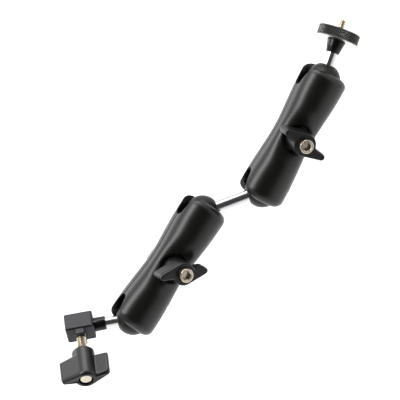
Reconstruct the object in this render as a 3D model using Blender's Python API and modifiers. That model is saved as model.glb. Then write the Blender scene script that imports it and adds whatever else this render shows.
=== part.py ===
# Macro arm: a clamp foot, two double-socket arms joined by a link, and a top stud with a lock ring.
# Metres, +Z up. The origin is the middle of the clamp face, where the clamp screw leaves the block.
# +X runs along the base rod towards the arms, -Y points from the clamp face to the clamp knob.

import math

import bmesh
import bpy
from mathutils import Matrix

MM = 0.001

# Gap between pieces that touch in the real object
FIT_GAP = 0.3 * MM

# Clamp block
BLOCK_WIDTH = 28.5 * MM
BLOCK_HEIGHT = 20.0 * MM
BLOCK_DEPTH = 22.6 * MM
BLOCK_CHAMFER = 1.3 * MM
TONGUE_WIDTH = 9.4 * MM
TONGUE_RISE = 6.1 * MM
TONGUE_LENGTH = 20.0 * MM
TONGUE_CHAMFER = 0.6 * MM

# Base rod and collar
STUD_RADIUS = 5.6 * MM
STUD_SET_IN = 7.5 * MM
BASE_REACH = 39.9 * MM
ROD_HEIGHT = 9.0 * MM
COLLAR_LENGTH = 12.2 * MM
COLLAR_RADIUS_BLOCK = 7.2 * MM
COLLAR_RADIUS_END = 6.9 * MM

# Clamp screw, 3/8 inch with 16 threads an inch
SCREW_RADIUS = 4.76 * MM
SCREW_IN_BLOCK = 6.0 * MM
SCREW_BORE_DEPTH = 18.5 * MM

# Clamp knob, heights measured from the clamp face along -Y
KNOB_HUB_START = 22.0 * MM
KNOB_HUB_RADIUS = 11.6 * MM
KNOB_SHOULDER = 2.6 * MM
KNOB_WING_START = 31.0 * MM
KNOB_END = 58.4 * MM
KNOB_HALF_SPAN = 25.0 * MM
KNOB_TIP_HALF = 3.3 * MM
KNOB_CORNER_SHARE = 0.6
KNOB_TOP_EDGE = 1.1 * MM
KNOB_END_ROUND = 4.2 * MM
KNOB_END_INSET = 2.8 * MM
KNOB_TIP_RISE = 2.5 * MM
KNOB_POCKET_RADIUS = 7.4 * MM
KNOB_POCKET_DEPTH = 5.0 * MM
INSERT_RADIUS = 5.9 * MM
INSERT_RECESS = 1.7 * MM
KNOB_TURN = 5.0

# Balls and sockets
BALL_RADIUS = 17.5 * MM
BALL_FLAT_RADIUS = 8.2 * MM
BALL_BORE_DEPTH = 10.0 * MM
BALL_STEPS = 28
BALL_ARC = 9
SOCKET_RADIUS = BALL_RADIUS + FIT_GAP
MOUTH_BEVEL = 1.1 * MM

# Arm shells, arm frame: x along the arm, y across it, z along the bolt
BALL_SPACING = 126.0 * MM
LIP_REACH = 9.9 * MM
SHELL_LENGTH = BALL_SPACING + 2 * LIP_REACH
END_HALF_WIDTH = 23.8 * MM
WAIST_HALF_WIDTH = 20.3 * MM
END_HALF_DEPTH = 23.5 * MM
WAIST_HALF_DEPTH = 17.2 * MM
WIDTH_TAPER = 58.0 * MM
DEPTH_TAPER_START = 4.0 * MM
DEPTH_TAPER = 32.0 * MM
END_ROUND = 9.0 * MM
END_POWER = 2.06
WAIST_POWER = 2.5
SECTION_STEPS = 14
SEAM_HALF_GAP = 0.25 * MM
WALL = 2.8 * MM
POCKET_START = 19.0 * MM
POCKET_BEFORE_BALL = 17.0 * MM
SLOT_BEFORE_BALL = 15.2 * MM
SLOT_HALF_CLOSED = 5.6 * MM
SLOT_HALF_BALL = 7.5 * MM
SLOT_FLARE = 0.64
SLOT_FLARE_START = 1.5 * MM
SLOT_INNER = 9.0 * MM
RELIEF_HALF = 9.4 * MM
RELIEF_WALL = 3.3 * MM
RELIEF_PAST_BALL = 2.5 * MM
DISH_RADIUS = 14.0 * MM
DISH_FLOOR = 10.6 * MM
DISH_LIP = 3.6 * MM
DISH_LIP_DROP = 3.0 * MM
DISH_LIP_LEAD = 0.15 * MM

# Clamp bolt of an arm, 3/8 inch socket head
BOLT_HEAD_RADIUS = 7.15 * MM
BOLT_HEAD_HEIGHT = 9.5 * MM
BOLT_HEAD_FRONT = 46.3 * MM
BOLT_HEX = 7.94 * MM
BOLT_HEX_DEPTH = 5.2 * MM
BOLT_BORE_RADIUS = SCREW_RADIUS + FIT_GAP
SPRING_POCKET_RADIUS = 7.4 * MM
SPRING_POCKET_DEPTH = 7.0 * MM
SPRING_RADIUS = 6.3 * MM
SPRING_WIRE = 0.6 * MM
SPRING_TURNS = 4
NUT_RADIUS = 12.0 * MM
NUT_HEIGHT = 15.0 * MM
BOLT_SHORT_OF_NUT = 0.7 * MM

# Wing knob of an arm
WASHER_RADIUS = 10.6 * MM
WASHER_HEIGHT = 1.2 * MM
WING_FRONT = 40.3 * MM
WING_DEPTH = 17.8 * MM
WING_TIP_RADIUS = 3.8 * MM
WING_HALF_SPAN = 26.3 * MM
WING_HUB_RADIUS = 12.2 * MM
WING_FILLET = 2.0 * MM
WING_BEVEL = 0.8 * MM

# Middle link
LINK_LENGTH = 64.1 * MM
LINK_RADIUS = 6.1 * MM

# Top stud, lengths measured from the middle of the top ball
TOP_ROD_RADIUS = 5.5 * MM
TOP_HUB_START = 28.9 * MM
TOP_HUB_END = 42.4 * MM
TOP_HUB_RADIUS_START = 6.7 * MM
TOP_HUB_RADIUS_END = 9.5 * MM
RING_RADIUS = 21.6 * MM
RING_HEIGHT = 10.6 * MM
RING_BEVEL = 0.8 * MM
THREAD_RADIUS = 3.175 * MM
THREAD_SHOWING = 10.4 * MM

ROUND_STEPS = 32

# Pose of the photo, in degrees, from the base rod to the top stud
BASE_SPIN = 77.8
BASE_SWING = 35.8
BASE_TILT = 32.3
LINK_TILT = -17.7
LINK_SWING = -31.7
LINK_SPIN = -3.7
UPPER_SWING = 40.2
UPPER_TILT = 10.5
TOP_TILT = 13.8
TOP_SWING = 4.7

# Turn of the wing knobs about their bolts
LOWER_WING_TURN = 130.0
UPPER_WING_TURN = 81.0


for old in list(bpy.data.objects):
    bpy.data.objects.remove(old, do_unlink=True)

parts = bpy.data.collections.new("macro_arm")
helpers = bpy.data.collections.new("macro_arm_cutters")
bpy.context.scene.collection.children.link(parts)
bpy.context.scene.collection.children.link(helpers)


def srgb(hex_text):
    out = []
    for i in (0, 2, 4):
        c = int(hex_text[i:i + 2], 16) / 255.0
        out.append(c / 12.92 if c <= 0.04045 else ((c + 0.055) / 1.055) ** 2.4)
    return (out[0], out[1], out[2], 1.0)


def material(name, colour, roughness, metallic):
    mat = bpy.data.materials.new(name)
    mat.use_nodes = True
    shader = mat.node_tree.nodes["Principled BSDF"]
    shader.inputs["Base Color"].default_value = srgb(colour)
    shader.inputs["Roughness"].default_value = roughness
    shader.inputs["Metallic"].default_value = metallic
    return mat


ANODISED = ("4A4A4D", 0.45, 0.6)
COATED = ("2B2B2C", 0.42, 0.2)
MOULDED = ("2A2A2C", 0.5, 0.0)
CHROME = ("E4E4E6", 0.12, 1.0)
NICKEL = ("CDBFA8", 0.28, 1.0)
BALL_FINISH = ("303030", 0.5, 0.2)
STEEL = ("B0B0B0", 0.35, 1.0)


def frame(name, parent, matrix):
    """An empty that carries one group of pieces."""
    empty = bpy.data.objects.new(name, None)
    parts.objects.link(empty)
    empty.parent = parent
    empty.location = matrix.to_translation()
    empty.rotation_euler = matrix.to_euler()
    return empty


def turn(axis, degrees):
    return Matrix.Rotation(math.radians(degrees), 4, axis)


def shift(x, y, z):
    return Matrix.Translation((x, y, z))


def add_object(name, mesh, collection):
    obj = bpy.data.objects.new(name, mesh)
    collection.objects.link(obj)
    return obj


def mesh_from_bmesh(name, bm):
    bmesh.ops.recalc_face_normals(bm, faces=bm.faces)
    mesh = bpy.data.meshes.new(name)
    bm.to_mesh(mesh)
    bm.free()
    return mesh


def turned(name, profile, collection, steps=ROUND_STEPS):
    """A body turned about its z axis; the profile runs top to bottom on its outer side at +X."""
    bm = bmesh.new()
    verts = [bm.verts.new((r, 0.0, z)) for r, z in profile]
    for a, b in zip(verts, verts[1:]):
        bm.edges.new((a, b))
    if profile[0][0] > 0.0:
        bm.edges.new((verts[-1], verts[0]))
    mesh = bpy.data.meshes.new(name)
    bm.to_mesh(mesh)
    bm.free()
    obj = add_object(name, mesh, collection)
    screw = obj.modifiers.new("Turn", "SCREW")
    screw.axis = "Z"
    screw.angle = math.tau
    screw.steps = steps
    screw.render_steps = steps
    screw.use_merge_vertices = True
    screw.merge_threshold = 0.00001
    return obj


def prism(name, outline, low, high, collection):
    """A flat outline in x and y, pulled from z = low to z = high."""
    bm = bmesh.new()
    bottom = bm.faces.new([bm.verts.new((x, y, low)) for x, y in outline])
    pulled = bmesh.ops.extrude_face_region(bm, geom=[bottom])
    moved = [v for v in pulled["geom"] if isinstance(v, bmesh.types.BMVert)]
    bmesh.ops.translate(bm, verts=moved, vec=(0.0, 0.0, high - low))
    return add_object(name, mesh_from_bmesh(name, bm), collection)


def box(name, size, centre, collection):
    bm = bmesh.new()
    bmesh.ops.create_cube(bm, size=1.0)
    bmesh.ops.scale(bm, vec=size, verts=bm.verts)
    bmesh.ops.translate(bm, vec=centre, verts=bm.verts)
    return add_object(name, mesh_from_bmesh(name, bm), collection)


def bevel(obj, width, segments, angle=30.0):
    mod = obj.modifiers.new("Edges", "BEVEL")
    mod.width = width
    mod.segments = segments
    mod.limit_method = "ANGLE"
    mod.angle_limit = math.radians(angle)


def boolean(obj, tool, operation):
    """Join or cut with a helper that is placed in the piece's own frame."""
    tool.parent = obj
    mod = obj.modifiers.new(operation.title(), "BOOLEAN")
    mod.operation = operation
    mod.solver = "EXACT"
    mod.object = tool


def cutter(obj):
    obj.hide_render = True
    obj.display_type = "WIRE"
    return obj


def finish(obj, parent, matrix, look, smooth=True):
    """Place a piece on its parent, give it its own material and shade it."""
    obj.parent = parent
    obj.location = matrix.to_translation()
    obj.rotation_euler = matrix.to_euler()
    obj.data.materials.append(material(obj.name + "_finish", *look))
    if smooth:
        obj.data.shade_smooth()
    return obj


def arc_points(cx, cy, radius, start, end, count):
    out = []
    for i in range(count + 1):
        a = math.radians(start + (end - start) * i / count)
        out.append((cx + radius * math.cos(a), cy + radius * math.sin(a)))
    return out


def cylinder(name, radius, low, high, collection, steps=ROUND_STEPS, chamfer=0.0):
    if chamfer > 0.0:
        profile = [(0.0, high), (radius - chamfer, high), (radius, high - chamfer),
                   (radius, low + chamfer), (radius - chamfer, low), (0.0, low)]
    else:
        profile = [(0.0, high), (radius, high), (radius, low), (0.0, low)]
    return turned(name, profile, collection, steps)


# The turned bodies are made about z; this turns z onto x
Z_TO_X = turn("Y", 90.0)
# and this turns z onto -y
Z_TO_MINUS_Y = turn("X", 90.0)

root = frame("macro_arm_root", None, Matrix())


def clamp_block():
    obj = box("clamp_block", (BLOCK_WIDTH, BLOCK_HEIGHT, BLOCK_DEPTH), (0.0, BLOCK_HEIGHT / 2, 0.0), parts)
    bevel(obj, BLOCK_CHAMFER, 1)
    overlap = 2.0 * MM
    tongue = box("tongue_adder", (TONGUE_WIDTH, TONGUE_RISE + overlap, TONGUE_LENGTH),
                 (0.0, (overlap - TONGUE_RISE) / 2, 0.0), helpers)
    bevel(tongue, TONGUE_CHAMFER, 1)
    boolean(obj, cutter(tongue), "UNION")
    over = 3.0 * MM
    screw_hole = cylinder("screw_hole_cutter", SCREW_RADIUS + FIT_GAP, -SCREW_BORE_DEPTH,
                          TONGUE_RISE + over, helpers)
    screw_hole.rotation_euler = Z_TO_MINUS_Y.to_euler()
    boolean(obj, cutter(screw_hole), "DIFFERENCE")
    rod_hole = cylinder("rod_hole_cutter", STUD_RADIUS + FIT_GAP, BLOCK_WIDTH / 2 - STUD_SET_IN - FIT_GAP,
                        BLOCK_WIDTH / 2 + over, helpers)
    rod_hole.rotation_euler = Z_TO_X.to_euler()
    rod_hole.location = (0.0, ROD_HEIGHT, 0.0)
    boolean(obj, cutter(rod_hole), "DIFFERENCE")
    return finish(obj, root, Matrix(), ANODISED, smooth=False)


def base_rod():
    face = BLOCK_WIDTH / 2
    length_to_ball = face + BASE_REACH
    seat = math.sqrt(BALL_RADIUS ** 2 - BALL_FLAT_RADIUS ** 2)
    inner = length_to_ball - seat + BALL_BORE_DEPTH - FIT_GAP
    rod = cylinder("base_stud", STUD_RADIUS, face - STUD_SET_IN, inner, parts, chamfer=0.5 * MM)
    finish(rod, root, shift(0.0, ROD_HEIGHT, 0.0) @ Z_TO_X, CHROME)
    low = face + FIT_GAP
    high = face + COLLAR_LENGTH
    edge = 0.5 * MM
    bore = STUD_RADIUS + FIT_GAP
    profile = [(bore, high), (COLLAR_RADIUS_END - edge, high), (COLLAR_RADIUS_END, high - edge),
               (COLLAR_RADIUS_BLOCK, low + edge), (COLLAR_RADIUS_BLOCK - edge, low), (bore, low)]
    collar = turned("base_collar", profile, parts)
    finish(collar, root, shift(0.0, ROD_HEIGHT, 0.0) @ Z_TO_X, MOULDED)


def knob_outline(inset):
    """Two offset wings: one face of each is flat, the other runs as a tangent onto the hub.

    The inset draws the outline that far inside its real edge.
    """
    span = KNOB_HALF_SPAN - inset
    tip = KNOB_TIP_HALF - inset
    hub = KNOB_HUB_RADIUS - inset
    corner = tip * KNOB_CORNER_SHARE
    half = arc_points(corner - span, corner - tip, corner, 270.0, 180.0, 3)
    half += arc_points(corner - span, tip - corner, corner, 180.0, 90.0, 3)
    reach = math.hypot(span - corner, tip)
    lean = math.asin(hub / reach) - math.atan2(tip, span - corner)
    touch = math.degrees(math.pi / 2 + lean)
    step_angle = math.degrees(math.asin(tip / hub))
    half += arc_points(0.0, 0.0, hub, touch, step_angle, 7)
    return half + [(-x, -y) for x, y in half]


def knob_rings():
    """Outlines from the wings' upper edge to the free end, drawn in where the edges are rounded.

    The free end slopes back from the hub to the tips of the wings.
    """
    stations = []
    for x, y in arc_points(1.0, 1.0, 1.0, 180.0, 270.0, 2):
        stations.append((KNOB_WING_START + KNOB_TOP_EDGE * x, KNOB_TOP_EDGE * y, 0.0))
    for x, y in arc_points(1.0, 1.0, 1.0, 270.0, 180.0, 5):
        stations.append((KNOB_END - KNOB_END_ROUND * x, KNOB_END_INSET * y, KNOB_TIP_RISE))
    rings = []
    for z, inset, rise in stations:
        ring = []
        for x, y in knob_outline(inset):
            beyond_hub = max(0.0, abs(x) - KNOB_HUB_RADIUS) / (KNOB_HALF_SPAN - KNOB_HUB_RADIUS)
            ring.append((x, y, z - rise * beyond_hub))
        rings.append(ring)
    return rings


def clamp_knob(parent):
    obj = loft("clamp_knob", knob_rings(), parts)
    overlap = 2.0 * MM
    top = KNOB_HUB_START
    low = KNOB_END - KNOB_END_ROUND - overlap
    inside = KNOB_HUB_RADIUS - 0.05 * MM
    profile = [(0.0, low), (inside, low)]
    profile += arc_points(inside - KNOB_SHOULDER, top + KNOB_SHOULDER, KNOB_SHOULDER, 0.0, -90.0, 5)
    profile += [(0.0, top)]
    hub = turned("knob_hub_adder", profile, helpers)
    boolean(obj, cutter(hub), "UNION")
    screw_hole = cylinder("knob_hole_cutter", SCREW_RADIUS + FIT_GAP, KNOB_HUB_START - overlap,
                          KNOB_END - KNOB_POCKET_DEPTH - overlap, helpers)
    boolean(obj, cutter(screw_hole), "DIFFERENCE")
    pocket = cylinder("knob_pocket_cutter", KNOB_POCKET_RADIUS, KNOB_END - KNOB_POCKET_DEPTH,
                      KNOB_END + overlap, helpers)
    boolean(obj, cutter(pocket), "DIFFERENCE")
    place = Z_TO_MINUS_Y @ turn("Z", KNOB_TURN)
    finish(obj, parent, place, MOULDED)
    insert = cylinder("clamp_knob_insert", INSERT_RADIUS, KNOB_END - KNOB_POCKET_DEPTH + FIT_GAP,
                      KNOB_END - INSERT_RECESS, parts, chamfer=0.4 * MM)
    finish(insert, parent, place, NICKEL)


def clamp_screw(parent):
    screw = cylinder("clamp_screw", SCREW_RADIUS, -SCREW_IN_BLOCK, KNOB_END - KNOB_POCKET_DEPTH - 3.0 * MM,
                     parts, chamfer=0.7 * MM)
    finish(screw, parent, Z_TO_MINUS_Y, NICKEL)


def ball(name, parent, matrix, bore_radius, look=BALL_FINISH):
    """A ball with a flat and a blind bore on its +z side."""
    flat = math.sqrt(BALL_RADIUS ** 2 - BALL_FLAT_RADIUS ** 2)
    floor = flat - BALL_BORE_DEPTH
    start = math.degrees(math.asin(flat / BALL_RADIUS))
    profile = [(0.0, floor), (bore_radius, floor), (bore_radius, flat)]
    profile += arc_points(0.0, 0.0, BALL_RADIUS, start, -90.0, BALL_ARC)
    profile[-1] = (0.0, -BALL_RADIUS)
    obj = turned(name, profile, parts, BALL_STEPS)
    return finish(obj, parent, matrix, look)


def smooth_step(t):
    t = min(max(t, 0.0), 1.0)
    return t * t * (3.0 - 2.0 * t)


def shell_half_width(x):
    t = min(abs(x) / WIDTH_TAPER, 1.0)
    return WAIST_HALF_WIDTH + (END_HALF_WIDTH - WAIST_HALF_WIDTH) * (1.0 - math.cos(math.pi * t)) / 2


def end_share(x):
    """How far a section has grown from the waist (0) to the full end (1)."""
    return smooth_step((abs(x) - DEPTH_TAPER_START) / DEPTH_TAPER)


def shell_half_depth(x):
    return WAIST_HALF_DEPTH + (END_HALF_DEPTH - WAIST_HALF_DEPTH) * end_share(x)


def section_power(x):
    return WAIST_POWER + (END_POWER - WAIST_POWER) * end_share(x)


def surface_height(x, y):
    """Height of the shell's outer surface above the seam plane."""
    power = section_power(x)
    return shell_half_depth(x) * (1.0 - (abs(y) / shell_half_width(x)) ** power) ** (1.0 / power)


def section(x, inset, side):
    """Half of the shell's section at x, front (1) or rear (-1): fuller at the waist, round at the ends."""
    wide = shell_half_width(x) - inset
    deep = shell_half_depth(x) - inset
    power = section_power(x)
    ring = []
    for i in range(SECTION_STEPS + 1):
        a = math.pi * i / SECTION_STEPS
        c = math.cos(a)
        s = max(math.sin(a), 0.0)
        y = wide * math.copysign(abs(c) ** (2.0 / power), c)
        z = deep * s ** (2.0 / power)
        ring.append((x, y, side * max(z, SEAM_HALF_GAP)))
    return ring


def loft(name, rings, collection):
    bm = bmesh.new()
    rows = [[bm.verts.new(p) for p in ring] for ring in rings]
    count = len(rows[0])
    for a, b in zip(rows, rows[1:]):
        for i in range(count):
            j = (i + 1) % count
            bm.faces.new((a[i], a[j], b[j], b[i]))
    bm.faces.new(rows[0])
    bm.faces.new(rows[-1])
    return add_object(name, mesh_from_bmesh(name, bm), collection)


def outer_rings(side):
    """Sections from end to end: close together where the depth changes and round the ends."""
    flat_end = SHELL_LENGTH / 2 - END_ROUND
    level = DEPTH_TAPER_START + DEPTH_TAPER
    taper_count = 6
    stations = [(0.0, 0.0)]
    for i in range(taper_count + 1):
        stations.append((DEPTH_TAPER_START + DEPTH_TAPER * i / taper_count, 0.0))
    for share in (0.36, 0.72):
        stations.append((level + (flat_end - level) * share, 0.0))
    for i in range(5):
        a = math.radians(90.0 * i / 4)
        stations.append((flat_end + END_ROUND * math.sin(a), END_ROUND * (1.0 - math.cos(a))))
    rings = [section(-x, inset, side) for x, inset in reversed(stations[1:])]
    rings += [section(x, inset, side) for x, inset in stations]
    return rings


def hollow_rings(side, sign, start, end, wall, height):
    """A hollow between two places along the arm, inside a wall, open through the seam up to a height."""
    count = 4
    rings = []
    for i in range(count + 1):
        ring = section(sign * (start + (end - start) * i / count), wall, side)
        rings.append([(x, y, -side * MM if abs(z) <= SEAM_HALF_GAP else side * min(abs(z), height))
                      for x, y, z in ring])
    return rings


def socket_cutter(name, sign):
    """The ball's seat and the bevelled mouth, about the arm's axis."""
    start_z = LIP_REACH - MOUTH_BEVEL
    start_r = math.sqrt(SOCKET_RADIUS ** 2 - start_z ** 2)
    outside = 3.0 * MM
    grow = MOUTH_BEVEL + outside
    start = math.degrees(math.asin(start_z / SOCKET_RADIUS))
    profile = [(0.0, LIP_REACH + outside), (start_r + grow, LIP_REACH + outside)]
    profile += arc_points(0.0, 0.0, SOCKET_RADIUS, start, -90.0, BALL_ARC)
    profile[-1] = (0.0, -SOCKET_RADIUS)
    obj = turned(name, profile, helpers, BALL_STEPS)
    obj.rotation_euler = turn("Y", 90.0 * sign).to_euler()
    obj.location = (sign * BALL_SPACING / 2, 0.0, 0.0)
    return cutter(obj)


def slot_cutter(name, sign, across):
    """A side slot: round at its closed end, wider over the ball, flared to the mouth."""
    end_middle = BALL_SPACING / 2 - SLOT_BEFORE_BALL + SLOT_HALF_CLOSED
    mouth = SHELL_LENGTH / 2 + 2.0 * MM
    level_end = BALL_SPACING / 2 - SLOT_FLARE_START
    flare = SLOT_HALF_BALL + (mouth - level_end) * SLOT_FLARE
    outline = [(mouth, -flare), (mouth, flare), (level_end, SLOT_HALF_BALL)]
    outline += arc_points(end_middle, 0.0, SLOT_HALF_CLOSED, 90.0, 270.0, 6)
    outline += [(level_end, -SLOT_HALF_BALL)]
    outline = [(sign * x, z) for x, z in outline]
    outer = END_HALF_WIDTH + 4.0 * MM
    obj = prism(name, outline, SLOT_INNER, outer, helpers)
    obj.rotation_euler = turn("X", -90.0 * across).to_euler()
    return cutter(obj)


def dish_cutter(name, side):
    """The round dish at the waist: a flat floor, an upright wall and a lip rounded over along the saddle."""
    columns = 40
    lip_steps = 4
    top = 2 * END_HALF_DEPTH
    circle = [(math.cos(math.tau * i / columns), math.sin(math.tau * i / columns)) for i in range(columns)]
    outer = DISH_RADIUS + DISH_LIP
    rings = [[(outer * c, outer * s, side * top) for c, s in circle]]
    for i in range(lip_steps + 1):
        a = math.radians(90.0 * i / lip_steps)
        r = outer - DISH_LIP * math.sin(a)
        drop = DISH_LIP_DROP * (1.0 - math.cos(a)) - DISH_LIP_LEAD
        rings.append([(r * c, r * s, side * (surface_height(r * c, r * s) - drop)) for c, s in circle])
    rings.append([(DISH_RADIUS * c, DISH_RADIUS * s, side * DISH_FLOOR) for c, s in circle])
    return cutter(loft(name, rings, helpers))


def shell(name, parent, matrix, side):
    obj = loft(name, outer_rings(side), parts)
    label = name.replace("_shell", "")
    ball_x = BALL_SPACING / 2
    pocket_end = ball_x - POCKET_BEFORE_BALL
    overlap = 2.0 * MM
    for sign in (-1, 1):
        pocket = hollow_rings(side, sign, POCKET_START, pocket_end, WALL, 2 * END_HALF_DEPTH)
        boolean(obj, cutter(loft(label + "_pocket_cutter" + str(sign), pocket, helpers)), "DIFFERENCE")
        relief_end = ball_x + RELIEF_PAST_BALL
        relief = hollow_rings(side, sign, pocket_end - overlap, relief_end, RELIEF_WALL, RELIEF_HALF)
        boolean(obj, cutter(loft(label + "_relief_cutter" + str(sign), relief, helpers)), "DIFFERENCE")
        boolean(obj, socket_cutter(label + "_socket_cutter" + str(sign), sign), "DIFFERENCE")
        for across in (-1, 1):
            slot = slot_cutter(label + "_slot_cutter" + str(sign) + str(across), sign, across)
            boolean(obj, slot, "DIFFERENCE")
    bore = cylinder(label + "_bore_cutter", BOLT_BORE_RADIUS, -2 * END_HALF_DEPTH,
                    2 * END_HALF_DEPTH, helpers)
    boolean(obj, cutter(bore), "DIFFERENCE")
    well = cylinder(label + "_spring_cutter", SPRING_POCKET_RADIUS, -SPRING_POCKET_DEPTH,
                    SPRING_POCKET_DEPTH, helpers)
    boolean(obj, cutter(well), "DIFFERENCE")
    boolean(obj, dish_cutter(label + "_dish_cutter", side), "DIFFERENCE")
    return finish(obj, parent, matrix, COATED)


def clamp_bolt(name, parent, matrix):
    head_low = BOLT_HEAD_FRONT - BOLT_HEAD_HEIGHT
    tail = -(DISH_FLOOR + FIT_GAP + NUT_HEIGHT - BOLT_SHORT_OF_NUT)
    edge = 0.7 * MM
    profile = [(0.0, BOLT_HEAD_FRONT), (BOLT_HEAD_RADIUS - edge, BOLT_HEAD_FRONT),
               (BOLT_HEAD_RADIUS, BOLT_HEAD_FRONT - edge), (BOLT_HEAD_RADIUS, head_low),
               (SCREW_RADIUS, head_low), (SCREW_RADIUS, tail + edge),
               (SCREW_RADIUS - edge, tail), (0.0, tail)]
    obj = turned(name, profile, parts)
    corner = BOLT_HEX / math.sqrt(3.0)
    outline = [(corner * math.cos(math.radians(60 * i)), corner * math.sin(math.radians(60 * i)))
               for i in range(6)]
    hexagon = prism(name + "_hex_cutter", outline, BOLT_HEAD_FRONT - BOLT_HEX_DEPTH,
                    BOLT_HEAD_FRONT + MM, helpers)
    boolean(obj, cutter(hexagon), "DIFFERENCE")
    return finish(obj, parent, matrix, NICKEL)


def wing_outline():
    """Two wings about a round hub: one flank of each runs onto the hub, the other meets it in a fillet."""
    tip_x = WING_HALF_SPAN - WING_TIP_RADIUS
    lean = math.degrees(math.acos((WING_HUB_RADIUS - WING_TIP_RADIUS) / tip_x))
    fillet_y = WING_TIP_RADIUS + WING_FILLET
    fillet_x = math.sqrt((WING_HUB_RADIUS + WING_FILLET) ** 2 - fillet_y ** 2)
    notch = math.degrees(math.atan2(fillet_y, fillet_x))
    half = arc_points(tip_x, 0.0, WING_TIP_RADIUS, -lean, 90.0, 6)
    half += arc_points(fillet_x, fillet_y, WING_FILLET, 270.0, 180.0 + notch, 3)
    half += arc_points(0.0, 0.0, WING_HUB_RADIUS, notch, 180.0 - lean, 6)[1:]
    return half + [(-x, -y) for x, y in half]


def wing_knob(name, parent, matrix):
    obj = prism(name, wing_outline(), WING_FRONT - WING_DEPTH, WING_FRONT, parts)
    bevel(obj, WING_BEVEL, 2, angle=50.0)
    foot = DISH_FLOOR + WASHER_HEIGHT + 2 * FIT_GAP
    overlap = 3.0 * MM
    slim = 0.3 * MM
    hub = cylinder(name + "_hub_adder", WING_HUB_RADIUS - slim, foot,
                   WING_FRONT - WING_DEPTH + overlap, helpers)
    boolean(obj, cutter(hub), "UNION")
    head_low = BOLT_HEAD_FRONT - BOLT_HEAD_HEIGHT - FIT_GAP
    clear = BOLT_HEAD_RADIUS + FIT_GAP
    profile = [(0.0, WING_FRONT + overlap), (clear, WING_FRONT + overlap), (clear, head_low),
               (BOLT_BORE_RADIUS, head_low), (BOLT_BORE_RADIUS, foot - overlap), (0.0, foot - overlap)]
    hole = turned(name + "_hole_cutter", profile, helpers)
    boolean(obj, cutter(hole), "DIFFERENCE")
    return finish(obj, parent, matrix, MOULDED)


def washer(name, parent, matrix):
    low = DISH_FLOOR + FIT_GAP
    high = low + WASHER_HEIGHT
    profile = [(BOLT_BORE_RADIUS, high), (WASHER_RADIUS, high),
               (WASHER_RADIUS, low), (BOLT_BORE_RADIUS, low)]
    return finish(turned(name, profile, parts), parent, matrix, STEEL)


def rear_nut(name, parent, matrix):
    high = -(DISH_FLOOR + FIT_GAP)
    low = high - NUT_HEIGHT
    edge = 1.2 * MM
    profile = [(BOLT_BORE_RADIUS, high), (NUT_RADIUS, high), (NUT_RADIUS, low + edge),
               (NUT_RADIUS - edge, low), (BOLT_BORE_RADIUS, low)]
    return finish(turned(name, profile, parts), parent, matrix, STEEL)


def spring(name, parent, matrix):
    curve = bpy.data.curves.new(name, "CURVE")
    curve.dimensions = "3D"
    curve.bevel_depth = SPRING_WIRE
    curve.bevel_resolution = 2
    curve.use_fill_caps = True
    reach = SPRING_POCKET_DEPTH - SPRING_WIRE - FIT_GAP
    per_turn = 12
    count = per_turn * SPRING_TURNS
    line = curve.splines.new("POLY")
    line.points.add(count)
    for i in range(count + 1):
        a = math.tau * i / per_turn
        z = -reach + 2 * reach * i / count
        line.points[i].co = (SPRING_RADIUS * math.cos(a), SPRING_RADIUS * math.sin(a), z, 1.0)
    obj = add_object(name, curve, parts)
    obj.parent = parent
    obj.location = matrix.to_translation()
    obj.rotation_euler = matrix.to_euler()
    obj.data.materials.append(material(name + "_finish", *STEEL))
    return obj


def arm(prefix, parent, wing_turn):
    """One double-socket arm; its frame is at its lower ball."""
    middle = shift(BALL_SPACING / 2, 0.0, 0.0)
    shell(prefix + "_rear_shell", parent, middle, -1)
    shell(prefix + "_front_shell", parent, middle, 1)
    rear_nut(prefix + "_rear_nut", parent, middle)
    spring(prefix + "_spring", parent, middle)
    washer(prefix + "_washer", parent, middle)
    knob_place = middle @ turn("Z", wing_turn)
    clamp_bolt(prefix + "_clamp_bolt", parent, knob_place)
    wing_knob(prefix + "_wing_knob", parent, knob_place)


def rod_between_balls():
    flat = math.sqrt(BALL_RADIUS ** 2 - BALL_FLAT_RADIUS ** 2)
    return flat - BALL_BORE_DEPTH + FIT_GAP


def top_stud(parent):
    start = rod_between_balls()
    rod = cylinder("top_rod", TOP_ROD_RADIUS, start, TOP_HUB_START + 5.0 * MM, parts, chamfer=0.4 * MM)
    finish(rod, parent, Z_TO_X, CHROME)
    edge = 0.6 * MM
    bore = TOP_ROD_RADIUS + FIT_GAP
    thread_bore = THREAD_RADIUS + FIT_GAP
    step = TOP_HUB_START + 5.0 * MM + FIT_GAP
    profile = [(thread_bore, TOP_HUB_END), (TOP_HUB_RADIUS_END - edge, TOP_HUB_END),
               (TOP_HUB_RADIUS_END, TOP_HUB_END - edge), (TOP_HUB_RADIUS_START, TOP_HUB_START),
               (bore, TOP_HUB_START), (bore, step), (thread_bore, step)]
    hub = turned("top_hub", profile, parts)
    finish(hub, parent, Z_TO_X, MOULDED)
    ring_low = TOP_HUB_END + FIT_GAP
    ring_high = ring_low + RING_HEIGHT
    profile = [(thread_bore, ring_high), (RING_RADIUS - RING_BEVEL, ring_high),
               (RING_RADIUS, ring_high - RING_BEVEL), (RING_RADIUS, ring_low + RING_BEVEL),
               (RING_RADIUS - RING_BEVEL, ring_low), (thread_bore, ring_low)]
    ring = turned("lock_ring", profile, parts, 48)
    finish(ring, parent, Z_TO_X, ANODISED)
    thread = cylinder("top_thread", THREAD_RADIUS, step + FIT_GAP, ring_high + THREAD_SHOWING, parts,
                      chamfer=0.6 * MM)
    finish(thread, parent, Z_TO_X, NICKEL)


clamp_block()
base_rod()
screw_frame = frame("clamp_screw_frame", root, Matrix())
clamp_screw(screw_frame)
knob_frame = frame("clamp_knob_frame", screw_frame, Matrix())
clamp_knob(knob_frame)

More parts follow.
